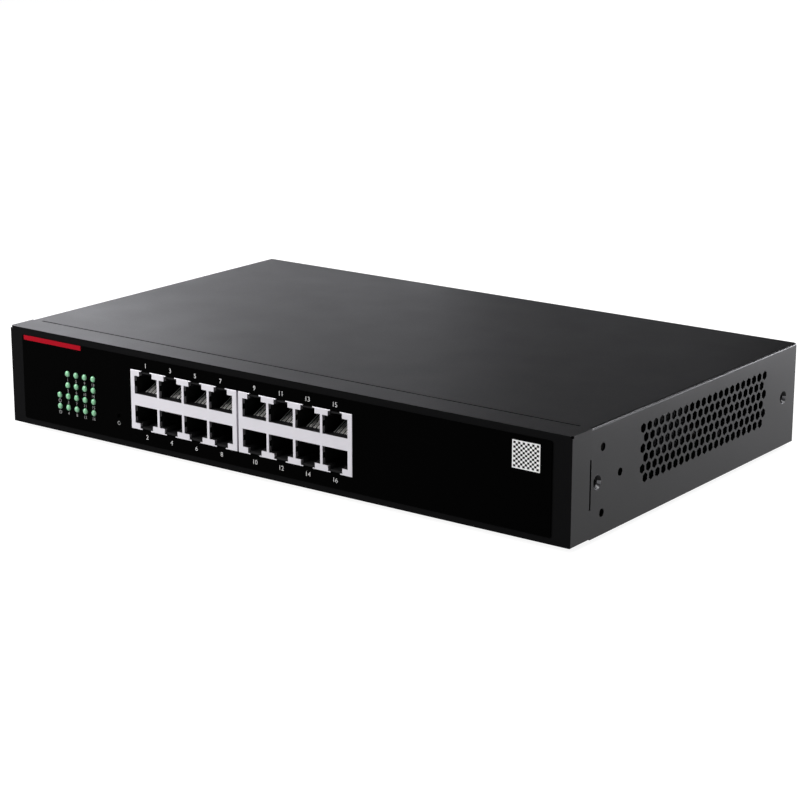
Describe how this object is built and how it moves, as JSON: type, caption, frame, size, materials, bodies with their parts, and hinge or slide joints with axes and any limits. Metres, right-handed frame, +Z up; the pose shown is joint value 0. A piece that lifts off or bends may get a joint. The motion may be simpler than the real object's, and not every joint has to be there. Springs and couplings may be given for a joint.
{
  "type": "desktop network switch",
  "caption": "Low steel-cased desktop network switch with two ganged jack blocks, green light-pipe lamps, a recessed reset button, hexagonal side vents and a rear mains inlet.",
  "frame": {"origin": "centre of the overall box in plan, on the surface that the feet stand on", "axes": "+X to the right seen from the front, along the width; the jacks face -Y; +Z up"},
  "size_m": [0.294, 0.183, 0.046],
  "materials": {
    "case_paint": "fine satin powder coat, dark grey",
    "overlay_film": "black printed film, satin",
    "jack_plating": "pale nickel plated sheet",
    "black_plastic": "moulded, black",
    "contact_gold": "gold plated spring wire on its insert",
    "green_lens": "clear green moulding",
    "screw_steel": "zinc plated",
    "pin_nickel": "nickel plated brass",
    "foot_rubber": "matte",
    "board_laminate": "dark green solder mask on glass laminate",
    "chip_resin": "moulded resin",
    "black_anodising": "extruded, black anodised",
    "transformer_tape": "black polyester tape",
    "capacitor_sleeve": "shrink sleeve",
    "choke_enamel": "brown enamelled wire winding",
    "fuse_glass": "clear tube with end caps",
    "plug_nylon": "natural nylon",
    "lead_sheath": "red insulation"
  },
  "bodies": {
    "switch": {"base_tray": "case_paint", "bulk_capacitor": "capacitor_sleeve", "contact_comb_left": "contact_gold", "contact_comb_right": "contact_gold", "cover_screw_left_front": "screw_steel", "cover_screw_left_rear": "screw_steel", "cover_screw_right_front": "screw_steel", "cover_screw_right_rear": "screw_steel", "earth_screw": "screw_steel", "foot_left_front": "foot_rubber", "foot_left_rear": "foot_rubber", "foot_right_front": "foot_rubber", "foot_right_rear": "foot_rubber", "front_overlay": "overlay_film", "heat_plate": "black_anodising", "heat_sink": "black_anodising", "inlet_pin_earth": "pin_nickel", "inlet_pin_live": "pin_nickel", "inlet_pin_neutral": "pin_nickel", "jack_housing_left": "black_plastic", "jack_housing_right": "black_plastic", "jack_shield_left": "jack_plating", "jack_shield_right": "jack_plating", "lead_plug_main": "plug_nylon", "lead_plug_power": "plug_nylon", "light_pipe_1": "green_lens", "light_pipe_2": "green_lens", "light_pipe_3": "green_lens", "light_pipe_4": "green_lens", "light_pipe_status": "green_lens", "low_voltage_lead": "lead_sheath", "magnetics_1": "chip_resin", "magnetics_2": "chip_resin", "magnetics_3": "chip_resin", "magnetics_4": "chip_resin", "main_board": "board_laminate", "main_board_screw_1": "screw_steel", "main_board_screw_2": "screw_steel", "main_board_screw_3": "screw_steel", "main_board_screw_4": "screw_steel", "mains_choke": "choke_enamel", "mains_fuse": "fuse_glass", "mains_inlet": "black_plastic", "mains_transformer": "transformer_tape", "power_board": "board_laminate", "power_board_screw_1": "screw_steel", "power_board_screw_2": "screw_steel", "power_board_screw_3": "screw_steel", "power_board_screw_4": "screw_steel", "reset_switch": "black_plastic", "switch_chip": "chip_resin", "top_cover": "case_paint"},
    "reset_button": {"reset_button": "black_plastic"}
  },
  "joints": [
    {"name": "reset_press", "type": "slide", "parent": "switch", "child": "reset_button", "axis": [0, 1, 0], "range_m": [0, 0.0003], "stiffness_N_per_m": 6400}
  ]
}
